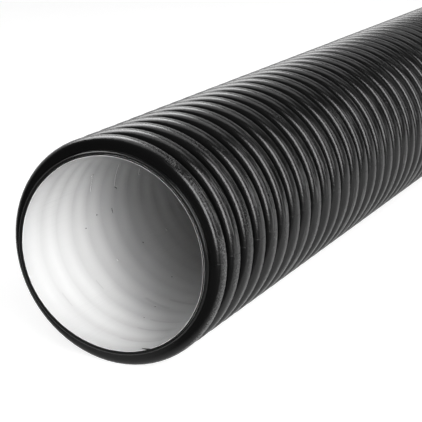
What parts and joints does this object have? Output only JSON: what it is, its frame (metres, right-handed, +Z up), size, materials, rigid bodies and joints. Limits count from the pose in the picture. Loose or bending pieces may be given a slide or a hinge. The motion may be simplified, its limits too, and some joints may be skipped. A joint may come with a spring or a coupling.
{
  "type": "corrugated plastic drainage pipe",
  "caption": "Straight length of twin-wall drainage pipe: black ribbed outer wall with hollow rings, fused to a smooth pale liner, sawn square at both ends.",
  "frame": {"origin": "middle of the pipe's length, on the level floor that its ribs lie on", "axes": "+X along the pipe's axis, from the sawn mouth seen in the picture to the far end; +Z up; the side seen in the picture faces -Y"},
  "size_m": [1, 0.2, 0.2],
  "materials": {
    "black_outer_wall": "black polyethylene with a soft sheen, faint scuffs on the crests",
    "pale_liner": "smooth, nearly white polyethylene with a soft sheen"
  },
  "bodies": {
    "root": {"corrugated_outer_wall": "black_outer_wall", "smooth_liner": "pale_liner"}
  },
  "joints": []
}
